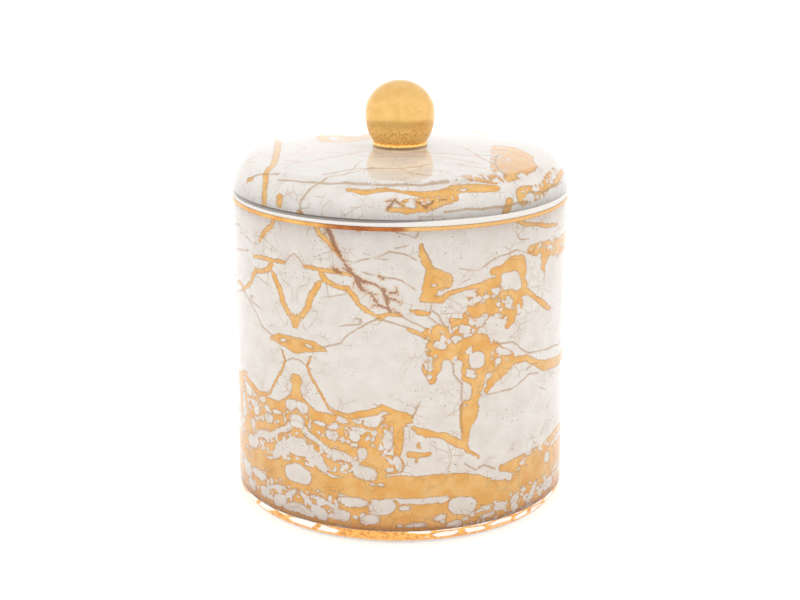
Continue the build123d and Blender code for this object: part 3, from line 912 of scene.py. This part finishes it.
def turned(name, outline, body, node, material, slot):
    """A closed outline of (radius, height) turned about the jar's axis into a smooth closed mesh."""
    mesh = bpy.data.meshes.new(name)
    build = bmesh.new()
    rings = []
    for radius, height in outline:
        if radius < ON_AXIS:
            rings.append([build.verts.new((0, 0, height))])
            continue
        angles = [2 * math.pi * i / SEGMENTS for i in range(SEGMENTS)]
        rings.append([build.verts.new((radius * math.cos(a), radius * math.sin(a), height)) for a in angles])
    for low, high in zip(rings, rings[1:] + rings[:1]):
        if len(low) == len(high) == 1:
            continue
        for i in range(SEGMENTS):
            corners = [low[i % len(low)], low[(i + 1) % SEGMENTS % len(low)]]
            corners += [high[(i + 1) % SEGMENTS % len(high)], high[i % len(high)]]
            build.faces.new(list(dict.fromkeys(corners)))
    bmesh.ops.recalc_face_normals(build, faces=build.faces)
    build.to_mesh(mesh)
    build.free()
    mesh.shade_smooth()
    mesh.set_sharp_from_angle(angle=SHARP_ANGLE)
    piece = bpy.data.objects.new(name, mesh)
    bpy.context.scene.collection.objects.link(piece)
    mesh.materials.append(material)
    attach(piece, body)
    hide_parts(node)


def jar_wall(inset, floor, corner, top):
    """The inner or outer line of a jar layer from the axis up the wall."""
    radius = OUTER_RADIUS - inset
    return [(0, floor)] + arc(radius - corner, floor + corner, corner, corner, -90, 0) + [(radius, top)]


def jar_layer(name, inset, floor, corner, top, material, slot):
    """A thin cup bonded inside the one that is this far in from the outer wall."""
    outer = jar_wall(inset, floor, corner, top)
    inner = jar_wall(inset + LAYER, floor + LAYER, corner - LAYER, top)
    return turned(name + "_turned", outer + inner[::-1], "jar", name, material, slot)


def make_jar(glass, print_material, lacquer, gilding):
    """The glass with its recess and stepped rim, the two layers inside it and the gilding."""
    bottom = jar_low.z
    recess = pad_high.x + PAD_GAP
    inner_floor = film_low.z + BOND
    inner_radius = FILM_RADIUS - BOND
    inner_corner = INNER_CORNER - BOND
    rim = jar_high.z + BOND
    outline = [(0, pad_high.z), (recess - EASED_EDGE, pad_high.z)]
    outline += arc(recess + EASED_EDGE, bottom + EASED_EDGE, EASED_EDGE, EASED_EDGE, 180, 270, 4)
    outline += arc(OUTER_RADIUS - BASE_CORNER, bottom + BASE_CORNER, BASE_CORNER, BASE_CORNER, -90, 0, 20)
    neck = OUTER_RADIUS - SKIRT + BOND
    outline += [(OUTER_RADIUS, gilding_low.z), (neck, gilding_low.z), (neck, rim), (inner_radius, rim)]
    corner_r, corner_z = inner_radius - inner_corner, inner_floor + inner_corner
    outline += arc(corner_r, corner_z, inner_corner, inner_corner, 0, -90)
    outline += [(0, inner_floor)]
    turned("jar_glass_blown", outline, "jar", "jar_glass", glass, "clear_glass")
    for name, inset, floor, top, material, slot in (
        ("jar_marble_film", WALL, film_low.z, film_high.z, print_material, "marble_film"),
        ("jar_backing_coat", WALL + LAYER, coat_low.z, coat_high.z, lacquer, "cream_lacquer"),
    ):
        jar_layer(name, inset, floor, INNER_CORNER + WALL - inset, top, material, slot)
    make_gilding(gilding)


def make_gilding(gilding):
    """Gold over the rim: a flat top with eased edges and a short skirt outside."""
    low, top = gilding_low.z, gilding_high.z
    ease = GILDING_EASE
    inner = OUTER_RADIUS - WALL - 2 * LAYER
    skirt_inner = OUTER_RADIUS - SKIRT
    outline = [(skirt_inner, low), (OUTER_RADIUS - ease / 2, low), (OUTER_RADIUS, low + ease / 2)]
    outline += arc(OUTER_RADIUS - ease, top - ease, ease, ease, 0, 90, 4)
    outline += arc(inner + ease, top - ease, ease, ease, 90, 180, 4)
    outline += [(inner, jar_high.z), (skirt_inner, jar_high.z)]
    turned("jar_rim_gilding_band", outline, "jar", "jar_rim_gilding", gilding, "gilding")


def lid_line(inset, bottom):
    """The line of a lid layer from its lower edge over the shoulder and crown to the screw hole."""
    radius = OUTER_RADIUS - inset
    width = SHOULDER_WIDTH - inset
    crown = OUTER_RADIUS - SHOULDER_WIDTH
    spring = gilding_high.z + LID_SIDE
    crest = spring + SHOULDER_HEIGHT - inset
    sphere = (crown**2 + CROWN_RISE**2) / (2 * CROWN_RISE)
    slope = math.asin(crown / sphere)
    arm = ELLIPSE_ARM * width
    corners = [
        Vector((radius, spring)),
        Vector((radius, spring + ELLIPSE_ARM * (crest - spring))),
        Vector((crown + arm * math.cos(slope), crest - arm * math.sin(slope))),
        Vector((crown, crest)),
    ]
    line = [(radius, bottom)]
    for i in range(SHOULDER_STEPS + 1):
        t = i / SHOULDER_STEPS
        weights = ((1 - t) ** 3, 3 * (1 - t) ** 2 * t, 3 * (1 - t) * t**2, t**3)
        line.append(tuple(sum((c * w for c, w in zip(corners, weights)), Vector((0, 0)))))
    for i in range(1, CROWN_STEPS + 1):
        r = crown + (SCREW_HOLE - crown) * i / CROWN_STEPS
        line.append((r, crest + CROWN_RISE - (sphere - math.sqrt(sphere**2 - r**2))))
    return line


def make_lid(glass, print_material, lacquer):
    """The glass, flat under the collar and eased at its lower edge, and the two layers inside it."""
    bottom = lid_low.z
    seat = lid_high.z
    ease = LID_EASE
    outside = [p for p in lid_line(0, bottom + ease) if p[1] < seat]
    outside = arc(OUTER_RADIUS - ease, bottom + ease, ease, ease, -90, 0, 5) + outside
    outside += [(collar_high.x, seat), (SCREW_HOLE, seat)]
    half = ease / 2
    inside = arc(OUTER_RADIUS - WALL - BOND + half, bottom + half, half, half, 270, 180, 3)
    inside += lid_line(WALL + BOND, bottom)[1:]
    turned("lid_glass_domed", outside + inside[::-1], "lid", "lid_glass", glass, "clear_glass")
    edge = lid_film_low.z
    for name, inset, material, slot in (
        ("lid_marble_film", WALL, print_material, "marble_film"),
        ("lid_backing_coat", WALL + LAYER, lacquer, "cream_lacquer"),
    ):
        outer = lid_line(inset, edge)
        inner = lid_line(inset + LAYER, edge)
        turned(name + "_turned", outer + inner[::-1], "lid", name, material, slot)


def make_knob(gold):
    """The squat ball, flat where it sits on its collar, and the rounded collar."""
    radius = knob_high.x
    equator = knob_high.z - KNOB_UPPER
    lower = (equator - knob_low.z) / math.sqrt(1 - (KNOB_SEAT / radius) ** 2)
    seat_angle = -math.degrees(math.acos(KNOB_SEAT / radius))
    outline = [(0, knob_low.z)]
    outline += arc(0, equator, radius, lower, seat_angle, 0, 24)
    outline += arc(0, equator, radius, KNOB_UPPER, 0, 90, 32)[1:-1]
    outline += [(0, knob_high.z)]
    turned("knob_ball_turned", outline, "lid", "knob_ball", gold, "gold_metal")
    low, high = collar_low.z, collar_high.z
    half = (high - low) / 2
    outline = [(SCREW_HOLE, low), (collar_high.x - half, low)]
    outline += arc(collar_high.x - half, low + half, half, half, -90, 90, 10)[1:]
    outline += [(SCREW_HOLE, high)]
    turned("knob_collar_turned", outline, "lid", "knob_collar", gold, "gold_metal")


# ---------------------------------------------------------------- floor, light and camera


STUDIO_STRENGTH = 1.42
FLOOR_GLOW = 0.2
CEILING_TOWARDS = (0.0, 0.5, 0.866)
CEILING_REACH = math.radians(55)
CEILING_GREY = (0.92, 0.92, 0.92, 1)
CEILING_SOFTNESS = 0.01
FLOOR_SIZE = 6.0
CAMERA_PLACE = (0.0, -0.4928, 0.2040)
CAMERA_DROP = math.radians(14.44)
CAMERA_LENS = 69.9
CAMERA_SHIFT = -0.05


def make_floor():
    """A plain white floor that glows a little, so that the jar's shadow on it stays pale."""
    bpy.ops.mesh.primitive_plane_add(size=FLOOR_SIZE, location=(0, 0, cad_box[0][2]))
    floor = bpy.context.object
    floor.name = "floor"
    looks = {"Roughness": 0.9, "Specular_IOR_Level": 0.05, "Emission_Strength": FLOOR_GLOW}
    material, n, shader = new_material("floor_white", **looks)
    colour = n.mix(n.noise(place_in_mm(n), 0.01, 2.0), srgb(250, 250, 250), srgb(247, 247, 247))
    n.put(colour, shader.inputs["Base Color"])
    n.put(colour, shader.inputs["Emission Color"])
    floor.data.materials.append(material)


def make_light():
    """A white studio all round, with a greyer round ceiling panel above and behind the jar."""
    world = bpy.data.worlds.new("studio")
    bpy.context.scene.world = world
    world.use_nodes = True
    n = Nodes(world.node_tree)
    direction = n.add("ShaderNodeTexCoord").outputs["Generated"]
    along = n.vector("DOT_PRODUCT", direction, CEILING_TOWARDS)
    reach = math.cos(CEILING_REACH)
    ceiling = n.band(along, reach - CEILING_SOFTNESS, reach + CEILING_SOFTNESS)
    colour = n.mix(ceiling, (1.0, 1.0, 1.0, 1), CEILING_GREY)
    background = world.node_tree.nodes["Background"]
    n.put(colour, background.inputs["Color"])
    background.inputs["Strength"].default_value = STUDIO_STRENGTH


def make_camera():
    """Looks slightly down at the jar; the small shift keeps the jar's place in the frame."""
    camera = bpy.data.cameras.new("camera")
    camera.lens = CAMERA_LENS
    camera.sensor_width = 36.0
    camera.shift_y = CAMERA_SHIFT
    camera.clip_start = 0.01
    holder = bpy.data.objects.new("camera", camera)
    holder.location = CAMERA_PLACE
    holder.rotation_euler = (math.pi / 2 - CAMERA_DROP, 0, 0)
    bpy.context.scene.collection.objects.link(holder)
    bpy.context.scene.camera = holder


# ---------------------------------------------------------------- build


gold = polished_gold()
lacquer = cream_lacquer()
jar_glass = clear_glass("jar_glass", FOOT_GROUND, paint=foot_paint)
jar_decor = decor("jar_print", jar_print, JAR_ART, JAR_CRACK_SPREAD, shown=right_of_mirror)
make_jar(jar_glass, jar_decor, lacquer, fired_gilding())
lid_glass = clear_glass("lid_glass", lid_film_low.z, EDGE_LIFT)
lid_decor = decor("lid_print", lid_print, LID_ART, LID_CRACK_SPREAD, finish=lid_edge_shadow)
make_lid(lid_glass, lid_decor, lacquer)
make_knob(gold)
for node, material in (
    ("base_pad", felt()),
    ("lid_seating_ring", milky_plastic()),
    ("knob_cushion", soft_silicone()),
    ("rubber_washer", soft_silicone()),
    ("steel_washer", bright_steel()),
    ("knob_screw", bright_steel()),
):
    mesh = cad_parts[node].data
    mesh.materials.clear()
    mesh.materials.append(material)
make_floor()
make_light()
make_camera()

scene = bpy.context.scene
scene.view_settings.view_transform = "Standard"
scene.cycles.use_denoising = True
